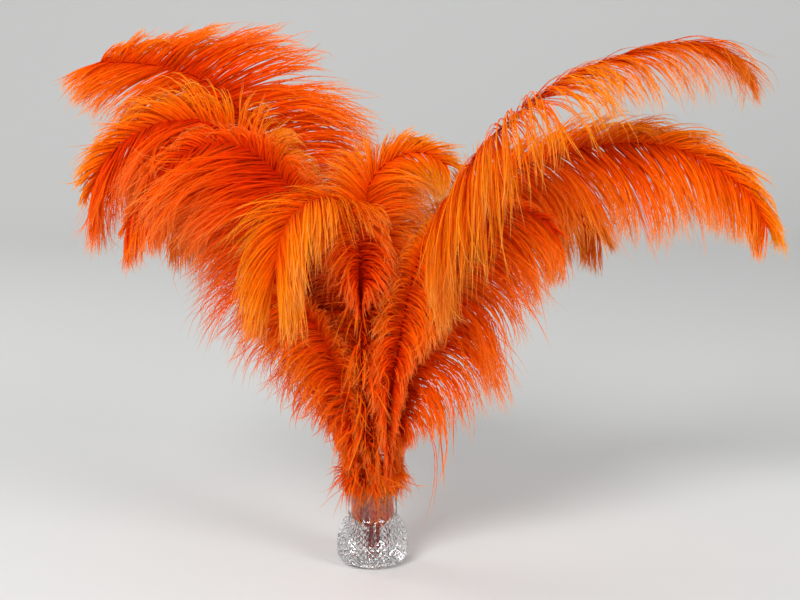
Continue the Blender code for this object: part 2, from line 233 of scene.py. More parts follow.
def smooth_path(points, count):
    """Points evenly spaced along a smooth curve through the given ones, and its length."""
    p = np.array(points, float)
    p = np.vstack([2 * p[0] - p[1], p, 2 * p[-1] - p[-2]])
    t = np.linspace(0.0, 1.0, CURVE_STEPS, endpoint=False)[:, None]
    runs = []
    for a, b, c, d in zip(p[:-3], p[1:-2], p[2:-1], p[3:]):
        runs.append(0.5 * (2 * b + (c - a) * t + (2 * a - 5 * b + 4 * c - d) * t ** 2
                           + (3 * b - a - 3 * c + d) * t ** 3))
    runs.append(p[-2:-1])
    curve = np.vstack(runs)
    along = np.r_[0.0, np.cumsum(np.linalg.norm(np.diff(curve, axis=0), axis=1))]
    even = np.linspace(0.0, along[-1], count)
    return np.stack([np.interp(even, along, curve[:, k]) for k in range(3)], 1), along[-1]


def shaft_line(plume):
    """A fine curve down the plume's shaft, with its tangent, side and back directions."""
    turn = math.radians(plume["ring"])
    out = np.array([math.cos(turn), math.sin(turn), 0.0])
    foot = out * QUILL_FOOT_RING + [0.0, 0.0, QUILL_FOOT]
    rim = out * QUILL_RIM_RING + [0.0, 0.0, VASE_HEIGHT]
    curve, length = smooth_path([foot, rim] + plume["shaft"], SHAFT_POINTS)
    tangent = unit(np.gradient(curve, axis=0))
    keys = unit(np.array([out * plume.get("turned", 1.0)] + plume["backs"]))
    places = np.linspace(0.0, 1.0, SHAFT_POINTS)
    reached = BACK_PLACES[:len(keys)]
    back = np.stack([np.interp(places, reached, keys[:, k]) for k in range(3)], 1)
    side = unit(np.cross(tangent, back))
    return Shaft(curve, length, tangent, side, unit(np.cross(side, tangent)))


# places on the vane from its foot to its tip, and the usual barbs there: their share of the
# longest, their angle to the shaft, and how far they spread sideways and not outwards
VANE_PLACES = (0.0, 0.08, 0.2, 0.4, 0.55, 0.7, 0.9, 1.0)
BARB_LENGTHS = (0.14, 0.18, 0.36, 0.85, 1.0, 1.0, 0.8, 0.5)
BARB_ANGLES = (95.0, 85.0, 70.0, 58.0, 52.0, 47.0, 38.0, 28.0)
BARB_SPREADS = (0.15, 0.2, 0.6, 1.0, 1.0, 1.0, 1.0, 1.0)
# three places on the vane for values that change slowly: droop, veil and tone
LOW_MIDDLE_TIP = (0.15, 0.5, 0.9)
LAST_PLACE = 0.999
# the barbs in this lower share of the vane turn ever more downy
DOWNY_PART = 0.45
BARB_SPACING = 0.52
LOCK_WIDTH = 9.0
# how unevenly locks lie, how unevenly single barbs do, and how much worse in the down
LOCK_SPREAD = {"length": 0.05, "angle": 3.0, "lift": 4.5, "droop": 0.16, "curl": 0.3,
               "cling": 0.12}
BARB_SPREAD = {"length": 0.1, "angle": 3.2, "lift": 5.0, "droop": 0.14, "curl": 0.45,
               "tip": 0.9}
DOWNY_SPREAD = {"angle": 4.0, "lift": 5.0, "curl": 2.0}


class Vane:
    """One side of a plume: where its barbs stand, and the locks that neighbours cling in."""

    def __init__(self, shaft, plume, sign, rng):
        self.plume, self.sign, self.rng = plume, sign, rng
        self.start = plume.get("bare", BARE_QUILL) / shaft.length
        length = shaft.length * (1.0 - self.start)
        self.count = int(length / plume.get("spacing", BARB_SPACING))
        place = (np.arange(self.count) + rng.uniform(size=self.count)) / self.count
        self.place = np.clip(place, 0.0, LAST_PLACE)
        self.locks = int(length / LOCK_WIDTH)
        self.lock = np.searchsorted(np.sort(rng.uniform(size=self.locks)), self.place)
        self.down = np.clip(1.0 - self.place / DOWNY_PART, 0.0, 1.0)
        self.strays = [np.argmin(np.abs(self.place - p)) for p in self.said("strays", ())]

    def said(self, what, usual=None):
        """What the plume says of this side, or of both sides, or else what is usual."""
        of_both = self.plume.get(what, usual)
        return self.plume.get("right_" + what, of_both) if self.sign > 0 else of_both

    def of_pair(self, what, usual=None):
        """This side's value out of a pair for left and right."""
        return self.plume.get(what, usual)[int(self.sign > 0)]

    def some(self, share):
        """Picks about that share of the barbs."""
        return self.rng.uniform(size=self.count) < share

    def per_lock(self, what):
        return self.rng.normal(0.0, LOCK_SPREAD[what], self.locks + 1)[self.lock]

    def per_barb(self, what, loose=1.0):
        return self.rng.normal(0.0, BARB_SPREAD[what] * loose, self.count)

    def uneven(self, what):
        """How far each barb lies out of line: with its lock, by itself, most in the down."""
        more = 1.0 + DOWNY_SPREAD[what] * self.down
        return self.per_lock(what) + self.per_barb(what, self.plume.get("loose", 1.0)) * more


BARB_REACH = 1.08
LEAST_RAGGED = 1.02
SHORTEST_BARB = 9.0
DOWNY_LENGTH = 10.0
OVERLONG_SHARE = 0.012
OVERLONG_REACH = 1.3
STRAY_REACH = 1.2


def barb_lengths(vane):
    """Each barb's length: an even edge, ragged, with a few barbs that stick out or hang."""
    longest = vane.of_pair("barbs")
    length = longest * np.interp(vane.place, VANE_PLACES, vane.said("lengths", BARB_LENGTHS))
    length = length * BARB_REACH * (1.0 + vane.per_lock("length"))
    length = length * (LEAST_RAGGED - np.abs(vane.per_barb("length")))
    length = length * np.where(vane.some(OVERLONG_SHARE), OVERLONG_REACH, 1.0)
    length[vane.strays] = longest * STRAY_REACH
    extra = DOWNY_LENGTH * vane.down * vane.rng.uniform(size=vane.count)
    return np.maximum(length, SHORTEST_BARB) + extra


ROOT_DEPTH = 0.7
STEEPEST_LIFT = 1.0
# a plume's veil is the share of its barbs that cross over the shaft and hide it
USUAL_VEIL = 0.4
CROSSING_RISE = 1.3
CROSSING_SHIFT = 1.6
CROSSING_LEAN = 0.22


def set_out(shaft, vane):
    """Where each barb leaves the shaft, the way it sets out, and its vane's back there."""
    at_shaft = (vane.start + (1.0 - vane.start) * vane.place) * (SHAFT_POINTS - 1)
    low = np.floor(at_shaft).astype(int)
    high = np.minimum(low + 1, SHAFT_POINTS - 1)
    share = (at_shaft - low)[:, None]

    def along_shaft(values):
        return values[low] * (1.0 - share) + values[high] * share

    tangents = unit(along_shaft(shaft.tangent))
    sides = unit(along_shaft(shaft.side))
    backs = unit(along_shaft(shaft.back))
    angle = np.interp(vane.place, VANE_PLACES, vane.said("angles", BARB_ANGLES))
    angle = np.radians(angle) + np.radians(vane.uneven("angle"))
    lift = np.clip(np.radians(vane.uneven("lift")), -STEEPEST_LIFT, STEEPEST_LIFT)
    spread = np.interp(vane.place, VANE_PLACES, BARB_SPREADS)[:, None]
    outwards = backs * vane.plume.get("turned", 1.0)
    away = unit(vane.sign * spread * sides + (1.0 - spread) * outwards)
    way = np.cos(angle)[:, None] * tangents + np.sin(angle)[:, None] * away
    way = unit(way + np.tan(lift)[:, None] * backs)
    radius = (QUILL_RADIUS + (TIP_RADIUS - QUILL_RADIUS) * vane.place)[:, None]
    at = along_shaft(shaft.curve) + vane.sign * sides * radius * ROOT_DEPTH

    face = np.where(vane.some(0.5)[:, None], 1.0, -1.0) * backs
    veil = np.broadcast_to(vane.plume.get("veil", USUAL_VEIL), 3)
    crossing = vane.some(np.interp(vane.place, LOW_MIDDLE_TIP, veil))[:, None]
    over = face * radius * CROSSING_RISE - vane.sign * sides * radius * CROSSING_SHIFT
    at = at + np.where(crossing, over, 0.0)
    way = unit(way + np.where(crossing, CROSSING_LEAN * face, 0.0))
    return at, way, backs


FALL = np.array([0.0, 0.0, -1.0])
BARB_STEPS = 18
# a barb bends little at its root and easily at its end
STIFF_BEND = 0.3
SOFT_BEND = 2.0
DOWNY_DROOP = 0.5
STRAY_DROOP = 2.6
TWISTED_SHARE = 0.01
TWIST = 4.0
CURL_SCATTER = 0.5
CURL_TURN = 3.0
TIP_TURN = 6.0


def turn_about(axis, v, angle):
    """v turned about axis, row by row."""
    cos, sin = np.cos(angle)[:, None], np.sin(angle)[:, None]
    along = np.sum(axis * v, axis=1, keepdims=True)
    return v * cos + np.cross(axis, v) * sin + axis * along * (1.0 - cos)


def let_fall(vane, at, way, length):
    """The barbs' paths as they droop under their own weight and curl at the ends."""
    droop = np.interp(vane.place, LOW_MIDDLE_TIP, vane.said("droop"))
    droop = droop * (1.0 + vane.per_lock("droop") + vane.per_barb("droop"))
    droop = droop * (1.0 + DOWNY_DROOP * vane.down)
    droop[vane.strays] *= STRAY_DROOP
    curly = vane.of_pair("curl", (1.0, 1.0))
    curl = curly * vane.uneven("curl")
    curl[vane.some(TWISTED_SHARE * curly)] += TWIST
    scatter = CURL_SCATTER * vane.rng.normal(size=(vane.count, 3))
    axis = unit(np.cross(way, FALL) + scatter)
    tip_curl = vane.per_barb("tip")
    step = (length / BARB_STEPS)[:, None]
    rows = [at]
    for k in range(BARB_STEPS):
        u = (k + 0.5) / BARB_STEPS
        bend = STIFF_BEND + (SOFT_BEND - STIFF_BEND) * u
        way = unit(way + FALL * (droop * bend / BARB_STEPS)[:, None])
        turn = curl * CURL_TURN * u ** 2 + tip_curl * TIP_TURN * u ** 5
        way = turn_about(axis, way, turn / BARB_STEPS)
        at = at + way * step
        rows.append(at)
    return np.array(rows).transpose(1, 0, 2)


USUAL_CLING = 0.3
CLOSEST_CLING = 0.9
CLING_AT_ENDS = 2.6


def cling_in_locks(vane, paths):
    """Neighbouring barbs draw together towards the middle of their lock, most at the ends."""
    middle = np.zeros((vane.locks + 1, BARB_STEPS + 1, 3))
    np.add.at(middle, vane.lock, paths)
    members = np.maximum(np.bincount(vane.lock, minlength=vane.locks + 1), 1)
    middle = middle / members[:, None, None]
    cling = np.clip(USUAL_CLING + vane.per_lock("cling"), 0.0, CLOSEST_CLING)
    reach = np.linspace(0.0, 1.0, BARB_STEPS + 1)[None, :, None]
    return paths + (middle[vane.lock] - paths) * cling[:, None, None] * reach ** CLING_AT_ENDS


def grow_side(shaft, plume, sign, rng):
    """One side's barbs: their paths, places on the vane, backs and locks."""
    vane = Vane(shaft, plume, sign, rng)
    length = barb_lengths(vane)
    at, way, backs = set_out(shaft, vane)
    paths = cling_in_locks(vane, let_fall(vane, at, way, length))
    return paths, vane.place, backs, vane.lock


TUFT_BARBS = 260
# where the down grows, as a share of the bare quill, and how long it is
TUFT_HEIGHTS = (0.54, 1.2)
TUFT_LENGTHS = (7.0, 19.0)
TUFT_RISE = (0.4, 0.6)
TUFT_CURL = 2.2
TUFT_DROOP = 3.0
LONGER_ABOVE_RIM = 1.5
# just above the rim some of it hangs as a skirt over the neck
SKIRT_FROM = 1.05
SKIRT_SHARE = 0.45
SKIRT_LENGTHS = (20.0, 42.0)
# a quill bare for longer than this is downy from the rim up into its vane
LONG_QUILL = 100.0
INTO_VANE = 20.0
LONGER_ON_LONG_QUILL = 1.6
TUFT_PLACE = 0.3


def grow_tuft(shaft, plume, rng):
    """The curly down round the foot of the vane, told in the way of grow_side."""
    start = plume.get("bare", BARE_QUILL)
    height = rng.uniform(*TUFT_HEIGHTS, TUFT_BARBS) * BARE_QUILL
    if start > LONG_QUILL:
        height = rng.uniform(BARE_QUILL, start + INTO_VANE, TUFT_BARBS)
    k = (height / shaft.length * (SHAFT_POINTS - 1)).astype(int)
    turn = rng.uniform(0.0, 2.0 * math.pi, (TUFT_BARBS, 1))
    away = np.cos(turn) * shaft.side[k] + np.sin(turn) * shaft.back[k]
    way = unit(away + shaft.tangent[k] * rng.normal(*TUFT_RISE, (TUFT_BARBS, 1)))
    length = rng.uniform(*TUFT_LENGTHS, (TUFT_BARBS, 1))
    length = length * np.where(height > BARE_QUILL, LONGER_ABOVE_RIM, 1.0)[:, None]
    skirt = (height > SKIRT_FROM * BARE_QUILL) & (rng.uniform(size=TUFT_BARBS) < SKIRT_SHARE)
    length[skirt] = rng.uniform(*SKIRT_LENGTHS, (skirt.sum(), 1))
    if start > LONG_QUILL:
        length = length * LONGER_ON_LONG_QUILL
    axis = unit(rng.normal(size=(TUFT_BARBS, 3)))
    curl = rng.normal(0.0, TUFT_CURL, TUFT_BARBS)
    at = shaft.curve[k] + away * QUILL_RADIUS * ROOT_DEPTH
    rows = [at]
    for _ in range(BARB_STEPS):
        way = unit(way + FALL * TUFT_DROOP / BARB_STEPS)
        way = turn_about(axis, way, curl / BARB_STEPS)
        at = at + way * length / BARB_STEPS
        rows.append(at)
    paths = np.array(rows).transpose(1, 0, 2)
    return paths, np.full(TUFT_BARBS, TUFT_PLACE), away, np.zeros(TUFT_BARBS, int)


RIM_ROOM = 0.6
# a hair that dips below the rim nearer the axis than the neck's middle stays inside it
NECK_MIDDLE = 21.2
INSIDE_NECK = 19.6
OUTSIDE_GLASS = 0.9
LEAST_RADIUS = 0.1


def keep_off_glass(hair):
    """Hairs that reach below the rim lie against the glass, within the neck or outside."""
    heights, radii = np.array(WALL_OUTSIDE + NECK + RIM[:1]).T
    low = hair[..., 2] < VASE_HEIGHT + RIM_ROOM
    radius = np.hypot(hair[..., 0], hair[..., 1])
    first = np.argmax(low, axis=1)[:, None]
    within = np.take_along_axis(radius, first, axis=1) < NECK_MIDDLE
    outer = np.interp(hair[..., 2], heights, radii) + OUTSIDE_GLASS
    kept = np.where(within, np.minimum(radius, INSIDE_NECK), np.maximum(radius, outer))
    scale = np.where(low, kept / np.maximum(radius, LEAST_RADIUS), 1.0)
    hair[..., :2] *= scale[..., None]
    return hair


STRAY_ROOM = 12.0
SHORTEST_DRAWN_IN = 0.3
LEAST_RUN = 0.01


def draw_in_strays(hair):
    """A hair that strays past the bunch's own reach is drawn back towards its root."""
    lowest, highest = (np.array(corner) / MM for corner in cad_box)
    root, run = hair[:, :1], hair - hair[:, :1]
    room = np.where(run > 0.0, highest + STRAY_ROOM - root, root - lowest + STRAY_ROOM)
    share = np.min(room / np.maximum(np.abs(run), LEAST_RUN), axis=(1, 2))
    return root + run * np.clip(share, SHORTEST_DRAWN_IN, 1.0)[:, None, None]


HAIRS_PER_BARB = 3
HAIR_POINTS = 8
SHORTEST_HAIR = 0.62
FRIZZY_SHARE = 0.06
FRIZZ = 2.5
HAIR_DRIFT = 0.5
DRIFT_BY_LENGTH = 0.012
DRIFT_GROWTH = 0.8
WAVE_HEIGHT = 0.5
WAVES = (4.0, 11.0)


def barb_hairs(paths, rng):
    """Several fine hairs along every barb, each wandering a little, and each one's barb."""
    barb = np.repeat(np.arange(len(paths)), HAIRS_PER_BARB)
    count = len(barb)
    u = np.linspace(0.0, 1.0, HAIR_POINTS)
    ends = rng.uniform(SHORTEST_HAIR, 1.0, count)
    ends[::HAIRS_PER_BARB] = 1.0
    at = u[None, :] * ends[:, None] * BARB_STEPS
    low = np.minimum(at.astype(int), BARB_STEPS - 1)
    share = (at - low)[..., None]
    line = paths[barb]
    rows = np.arange(count)[:, None]
    hair = line[rows, low] * (1.0 - share) + line[rows, low + 1] * share
    reach = np.linalg.norm(line[:, -1] - line[:, 0], axis=1)
    drift = unit(rng.normal(size=(count, 3))) * np.abs(rng.normal(0.0, 1.0, (count, 1)))
    frizz = 1.0 + FRIZZ * (rng.uniform(size=count) < FRIZZY_SHARE)
    amount = (HAIR_DRIFT + DRIFT_BY_LENGTH * reach) * frizz
    hair += drift[:, None, :] * (amount[:, None] * u[None, :] ** DRIFT_GROWTH)[..., None]
    wave = rng.uniform(0.0, 2.0 * math.pi, (count, 1))
    wave = wave + u[None, :] * rng.uniform(*WAVES, (count, 1))
    ripple = WAVE_HEIGHT * np.sin(wave) * u[None, :]
    hair += unit(rng.normal(size=(count, 3)))[:, None, :] * ripple[..., None]
    return keep_off_glass(draw_in_strays(hair)), barb


HAIR_HALF_WIDTH = 0.36
HAIR_WIDTHS = (0.7, 1.3)
HAIR_PLACES = (0.0, 0.15, 0.7, 1.0)
HAIR_TAPER = (1.5, 1.2, 0.7, 0.2)
HAIR_LEAN = 24.0


def ribbons(hair, facing, rng):
    """Thin tapering ribbons along the hairs: their points, the faces' corners and sizes,
    and how far along its hair each corner of one ribbon lies."""
    count, points, _ = hair.shape
    u = np.linspace(0.0, 1.0, points)
    way = unit(np.gradient(hair, axis=1))
    flat = unit(np.cross(way, np.repeat(facing[:, None, :], points, axis=1)))
    lean = np.radians(rng.normal(0.0, HAIR_LEAN, (count, 1, 1)))
    across = flat * np.cos(lean) + np.cross(way, flat) * np.sin(lean)
    taper = np.interp(u, HAIR_PLACES, HAIR_TAPER)
    wide = HAIR_HALF_WIDTH * rng.uniform(*HAIR_WIDTHS, (count, 1, 1)) * taper[None, :, None]
    vertices = np.concatenate([hair - across * wide, (hair + across * wide)[:, :-1]], axis=1)
    k = np.arange(points - 2)
    quads = np.stack([k, k + 1, points + k + 1, points + k], axis=1)
    one = np.r_[quads.ravel(), points - 2, points - 1, 2 * points - 2]
    corners = one[None] + (np.arange(count) * (2 * points - 1))[:, None]
    sizes = np.tile(np.r_[np.full(len(quads), 4), 3], count)
    return vertices.reshape(-1, 3), corners.ravel(), sizes, np.r_[u, u[:-1]][one]


# the dye's map: along a hair or the shaft, and how yellow that hair took the dye; the
# shaft keeps to a tone of its own below all hairs
SHAFT_TONE = 0.05
REDDEST_HAIR = 0.15
HAIR_TONES = 0.83
TONE_PER_LOCK = 0.06
TONE_PER_HAIR = 0.09


def shaft_tube(shaft, plume):
    """The quill and shaft as a tapering tube: its points, corners, face sizes and map."""
    picks = np.unique(np.round(np.linspace(0, SHAFT_POINTS - 1, SHAFT_RINGS)).astype(int))
    along = picks / (SHAFT_POINTS - 1)
    start = plume.get("bare", BARE_QUILL) / shaft.length
    radius = np.interp(along, (0.0, start, 1.0), (QUILL_RADIUS, VANE_FOOT_RADIUS, TIP_RADIUS))
    turn = np.arange(SHAFT_SIDES) * 2.0 * math.pi / SHAFT_SIDES
    around = (np.cos(turn)[None, :, None] * shaft.side[picks][:, None]
              + np.sin(turn)[None, :, None] * shaft.back[picks][:, None])
    rings = shaft.curve[picks][:, None] + around * radius[:, None, None]
    i, j = np.meshgrid(np.arange(len(picks) - 1), np.arange(SHAFT_SIDES), indexing="ij")
    k = (j + 1) % SHAFT_SIDES
    faces = np.stack([i * SHAFT_SIDES + j, i * SHAFT_SIDES + k,
                      (i + 1) * SHAFT_SIDES + k, (i + 1) * SHAFT_SIDES + j], axis=-1)
    u = np.stack([along[i], along[i], along[i + 1], along[i + 1]], axis=-1).ravel()
    dye_map = np.stack([u, np.full(len(u), SHAFT_TONE)], axis=1)
    return rings.reshape(-1, 3), faces.ravel(), np.full(i.size, 4), dye_map


def build_plume(name, plume, rng):
    """One mesh of all barbs and the shaft, in metres, with the map the dye is read from."""
    shaft = shaft_line(plume)
    parts = []
    for sign in (-1.0, 1.0, 0.0):
        if sign:
            paths, place, backs, lock = grow_side(shaft, plume, sign, rng)
        else:
            paths, place, backs, lock = grow_tuft(shaft, plume, rng)
        lock_tone = rng.normal(0.0, TONE_PER_LOCK, lock.max() + 1)[lock]
        tone = np.interp(place, LOW_MIDDLE_TIP, plume["tone"])
        tone = tone + sign * plume.get("right_tone", 0.0) + lock_tone
        hair, barb = barb_hairs(paths, rng)
        tone = tone[barb] + rng.normal(0.0, TONE_PER_HAIR, len(barb))
        tone = REDDEST_HAIR + HAIR_TONES * np.clip(tone, 0.0, 1.0)
        points, corners, sizes, u = ribbons(hair, backs[barb], rng)
        dye_map = np.stack([np.tile(u, len(barb)), np.repeat(tone, len(u))], axis=1)
        parts.append((points, corners, sizes, dye_map))
    parts.append(shaft_tube(shaft, plume))
    offset = 0
    for k, (points, corners, sizes, dye_map) in enumerate(parts):
        parts[k] = (points, corners + offset, sizes, dye_map)
        offset += len(points)
    return lay_mesh(name, *(np.concatenate(v) for v in zip(*parts)))


def lay_mesh(name, points, corners, sizes, dye_map):
    """An object of one mesh out of plain lists, with the dye's map."""
    data = bpy.data.meshes.new(name)
    data.vertices.add(len(points))
    data.vertices.foreach_set("co", (points * MM).astype(np.float32).ravel())
    data.loops.add(len(corners))
    data.loops.foreach_set("vertex_index", corners.astype(np.int32))
    data.polygons.add(len(sizes))
    starts = np.r_[0, np.cumsum(sizes)[:-1]].astype(np.int32)
    data.polygons.foreach_set("loop_start", starts)
    data.polygons.foreach_set("use_smooth", np.ones(len(sizes), bool))
    data.update(calc_edges=True)
    data.validate()
    layer = data.uv_layers.new(name="OFBake")
    layer.data.foreach_set("uv", dye_map.astype(np.float32).ravel())
    piece = bpy.data.objects.new(name, data)
    bpy.context.scene.collection.objects.link(piece)
    return piece


# the dye along a hair, from its root to its end, with painted light in it: the darker, deeper
# red at the root is partly painted shade among the dense barbs by the shaft, and the paler end
# is partly a painted highlight of light shining through the thin ends
RED_DYE_AND_PAINTED_LIGHT = [(0.0, (0.66, 0.004, 0.0)), (0.3, (0.90, 0.014, 0.0)),
           (0.75, (0.95, 0.070, 0.001)), (1.0, (1.0, 0.27, 0.06))]
YELLOW_DYE_AND_PAINTED_LIGHT = [(0.0, (0.93, 0.08, 0.0)), (0.3, (1.0, 0.22, 0.001)),
              (0.75, (1.0, 0.38, 0.008)), (1.0, (1.0, 0.55, 0.14))]
SHAFT_DYE = (0.38, 0.008, 0.0)
BARB_ROUGHNESS = 0.6
BARB_SHINE = 0.08
BARB_SHINE_TINT = (1.0, 0.6, 0.3, 1.0)
LIGHT_THROUGH_BARBS = 0.5
# the dye took in flecks, few along a hair and different from one hair to the next
FLECKS = (5.0, 90.0, 1.0)
FLECK_DETAIL = 3.0
FLECK_NOISE = (0.3, 0.7)
FLECK_SHADE = (0.72, 1.08)


def dye_and_light_ramp(nodes, stops):
    made = nodes.new("ShaderNodeValToRGB")
    while len(made.color_ramp.elements) < len(stops):
        made.color_ramp.elements.new(0.5)
    for element, (place, colour) in zip(made.color_ramp.elements, stops):
        element.position = place
        element.color = (*colour, 1.0)
    return made


def colour_mix(nodes, blend_type="MIX"):
    made = nodes.new("ShaderNodeMix")
    made.data_type = "RGBA"
    made.blend_type = blend_type
    return made


def dyed_feather():
    """Dye that is deep at the shaft and thin at the hairs' ends, between red and yellow by
    the map's tone, on barbs that let half the light through.  The deeper red at the roots is
    partly painted shade, and the pale ends are partly a painted highlight."""
    made = bpy.data.materials.new("dyed_feather")
    made.use_nodes = True
    nodes, links = made.node_tree.nodes, made.node_tree.links
    shader = nodes["Principled BSDF"]
    shader.inputs["Roughness"].default_value = BARB_ROUGHNESS
    shader.inputs["Specular IOR Level"].default_value = BARB_SHINE
    shader.inputs["Specular Tint"].default_value = BARB_SHINE_TINT
    place = nodes.new("ShaderNodeUVMap")
    place.uv_map = "OFBake"
    split = nodes.new("ShaderNodeSeparateXYZ")
    links.new(place.outputs["UV"], split.inputs[0])

    # both ramps hold painted shade at the hair's root and a painted highlight at its end,
    # besides the dye
    red, yellow = dye_and_light_ramp(nodes, RED_DYE_AND_PAINTED_LIGHT), dye_and_light_ramp(nodes, YELLOW_DYE_AND_PAINTED_LIGHT)
    links.new(split.outputs["X"], red.inputs["Fac"])
    links.new(split.outputs["X"], yellow.inputs["Fac"])
    blend = colour_mix(nodes)
    links.new(split.outputs["Y"], blend.inputs["Factor"])
    links.new(red.outputs["Color"], blend.inputs["A"])
    links.new(yellow.outputs["Color"], blend.inputs["B"])

    stretch = nodes.new("ShaderNodeVectorMath")
    stretch.operation = "MULTIPLY"
    stretch.inputs[1].default_value = FLECKS
    links.new(place.outputs["UV"], stretch.inputs[0])
    fleck = nodes.new("ShaderNodeTexNoise")
    fleck.inputs["Scale"].default_value = 1.0
    fleck.inputs["Detail"].default_value = FLECK_DETAIL
    links.new(stretch.outputs["Vector"], fleck.inputs["Vector"])
    shade = nodes.new("ShaderNodeMapRange")
    shade.inputs["From Min"].default_value = FLECK_NOISE[0]
    shade.inputs["From Max"].default_value = FLECK_NOISE[1]
    shade.inputs["To Min"].default_value = FLECK_SHADE[0]
    shade.inputs["To Max"].default_value = FLECK_SHADE[1]
    links.new(fleck.outputs["Fac"], shade.inputs["Value"])
    dye_and_painted_light = colour_mix(nodes, "MULTIPLY")
    dye_and_painted_light.inputs["Factor"].default_value = 1.0
    links.new(blend.outputs["Result"], dye_and_painted_light.inputs["A"])
    links.new(shade.outputs["Result"], dye_and_painted_light.inputs["B"])

    is_barb = nodes.new("ShaderNodeMath")
    is_barb.operation = "GREATER_THAN"
    is_barb.inputs[1].default_value = 0.5 * (SHAFT_TONE + REDDEST_HAIR)
    links.new(split.outputs["Y"], is_barb.inputs[0])
    whole = colour_mix(nodes)
    whole.inputs["A"].default_value = (*SHAFT_DYE, 1.0)
    links.new(is_barb.outputs[0], whole.inputs["Factor"])
    links.new(dye_and_painted_light.outputs["Result"], whole.inputs["B"])
    links.new(whole.outputs["Result"], shader.inputs["Base Color"])
    through = nodes.new("ShaderNodeBsdfTranslucent")
    links.new(whole.outputs["Result"], through.inputs["Color"])
    both = nodes.new("ShaderNodeMixShader")
    both.inputs["Fac"].default_value = LIGHT_THROUGH_BARBS
    links.new(shader.outputs[0], both.inputs[1])
    links.new(through.outputs[0], both.inputs[2])
    links.new(both.outputs[0], nodes["Material Output"].inputs["Surface"])
    return made


feather_dye_with_painted_light = dyed_feather()


def set_plume(node, seed, **plume):
    """Grows a plume over its CAD node and stands it in the vase.  ring is where round the
    rim it leans, in degrees, and shaft is its line above the rim.  Its vane's back faces
    outwards at the foot, or inwards if turned is -1, and then the ways given as backs.
    barbs are the longest ones left and right, tone is how yellow they are, bare is the
    quill below them, loose is how unruly they lie, and at strays one hangs down long.
    Values that begin with right_ are for the right side alone."""
    piece = build_plume(node + "_barbs", plume, np.random.default_rng(seed))
    piece.data.materials.append(feather_dye_with_painted_light)
    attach(piece, "root")
    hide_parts(node)


set_plume(
    "plume_right_long", seed=11, tone=(0.2, 0.5, 0.75), right_tone=-0.2, veil=0.6, spacing=0.48,
    ring=8, backs=[(0.0, -0.92, 0.39), (0.0, -0.80, 0.60)], barbs=(78, 112),
    droop=(1.4, 1.2, 1.2), right_droop=(1.8, 1.7, 1.5),
    angles=(95.0, 85.0, 65.0, 46.0, 38.0, 33.0, 24.0, 18.0),
    right_angles=(95.0, 85.0, 70.0, 58.0, 54.0, 50.0, 42.0, 30.0),
    lengths=(0.08, 0.1, 0.25, 0.5, 0.85, 1.0, 0.8, 0.5),
    right_lengths=(0.06, 0.08, 0.3, 0.64, 0.86, 1.0, 0.56, 0.35),
    shaft=[(21, 5, 110), (32, 10, 195), (52, 18, 265), (82, 24, 318), (115, 25, 353),
           (170, 25, 374), (225, 20, 384), (272, 15, 380), (311, 10, 362),
           (339, 5, 338), (353, 2, 313)])
set_plume(
    "plume_right_top", seed=12, tone=(0.0, 1.0, 0.75), veil=(0.0, 0.9, 0.3),
    ring=309, backs=[(0.0, -1.0, 0.1), (0.0, 0.1, 1.0)], barbs=(48, 138),
    droop=(1.8, 1.8, 1.8), right_droop=(3.0, 3.0, 1.9), curl=(1.0, 1.4),
    angles=(95.0, 85.0, 70.0, 58.0, 30.0, 20.0, 16.0, 14.0),
    lengths=(0.15, 0.4, 0.85, 0.35, 0.08, 0.14, 0.16, 0.18),
    right_lengths=(0.08, 0.1, 0.15, 0.6, 1.0, 0.6, 0.62, 0.26),
    right_angles=(95.0, 85.0, 70.0, 105.0, 118.0, 32.0, 38.0, 28.0),
    shaft=[(12, -25, 100), (15, -37, 150), (23, -47, 205), (40, -60, 288),
           (69, -65, 347), (108, -52, 399), (168, -42, 444), (238, -32, 471),
           (284, -26, 473), (312, -22, 461), (326, -20, 445)])
set_plume(
    "plume_right_low", seed=13, tone=(0.1, 0.15, 0.25), right_tone=0.1, veil=0.5, spacing=0.44,
    ring=342, backs=[(0.0, -0.97, 0.25), (0.0, -0.85, 0.5)], barbs=(35, 114),
    droop=(2.5, 2.2, 1.6), right_droop=(3.0, 2.7, 1.9),
    right_strays=(0.2, 0.23, 0.27, 0.3, 0.34),
    lengths=(0.12, 0.25, 0.6, 1.0, 1.0, 0.9, 0.7, 0.5),
    right_lengths=(0.05, 0.05, 0.34, 1.08, 1.0, 0.92, 0.68, 0.42),
    shaft=[(20, -8, 100), (26, -12, 150), (36, -15, 212), (60, -20, 270),
           (90, -22, 312), (122, -22, 328), (145, -22, 324), (162, -22, 310)])


# ---- The plumes on the left -----------------------------------------------------------
# Four plumes of the same kind fan out to the left, one before the other.  The hindmost
# holds its barbs up and the others let theirs sweep out and down; the front one took the
# dye reddest, and the lowest is short.  They stand in the vase like the rest.
set_plume(
    "plume_left_back", seed=14, tone=(0.15, 0.3, 0.4), veil=0.1, spacing=0.43,
    ring=148, backs=[(0.0, -1.0, 0.1), (0.0, -0.97, 0.25)], barbs=(124, 120),
    droop=(1.0, 0.7, 0.7), right_droop=(1.2, 1.15, 1.2),
    angles=(95.0, 85.0, 76.0, 70.0, 62.0, 54.0, 34.0, 14.0),
    right_angles=(95.0, 90.0, 90.0, 92.0, 94.0, 101.0, 122.0, 118.0),
    lengths=(0.05, 0.1, 0.36, 0.8, 0.95, 0.97, 0.7, 0.36),
    right_lengths=(0.05, 0.1, 0.26, 0.67, 0.9, 1.02, 0.58, 0.2),
    shaft=[(-16, 16, 110), (-27, 21, 190), (-50, 34, 270), (-80, 48, 344),
           (-128, 55, 418), (-165, 54, 443), (-206, 50, 453), (-246, 46, 455)])
